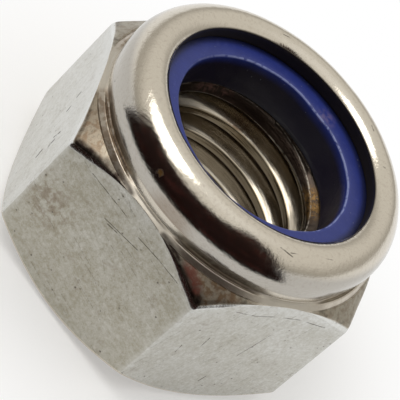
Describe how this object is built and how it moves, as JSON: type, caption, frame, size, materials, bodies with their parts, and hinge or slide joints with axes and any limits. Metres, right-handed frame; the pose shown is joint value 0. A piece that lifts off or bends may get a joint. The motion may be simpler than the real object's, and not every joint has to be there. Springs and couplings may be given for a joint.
{
  "type": "nylon insert lock nut",
  "caption": "Hexagonal steel lock nut with a round collar crimped over a nylon ring that grips the bolt.",
  "frame": {"origin": "centre of the bearing face, on the thread axis, at the bottom of the nut", "axes": "+Z along the thread axis towards the collar and nylon ring; +X through a corner of the hexagon; +Y square to a flat"},
  "size_m": [0.0206, 0.018, 0.0123],
  "materials": {
    "steel": "stainless steel, tumbled and lightly worn",
    "nylon": "blue nylon, satin"
  },
  "bodies": {
    "root": {"nut_body": "steel", "nylon_ring": "nylon"}
  },
  "joints": []
}
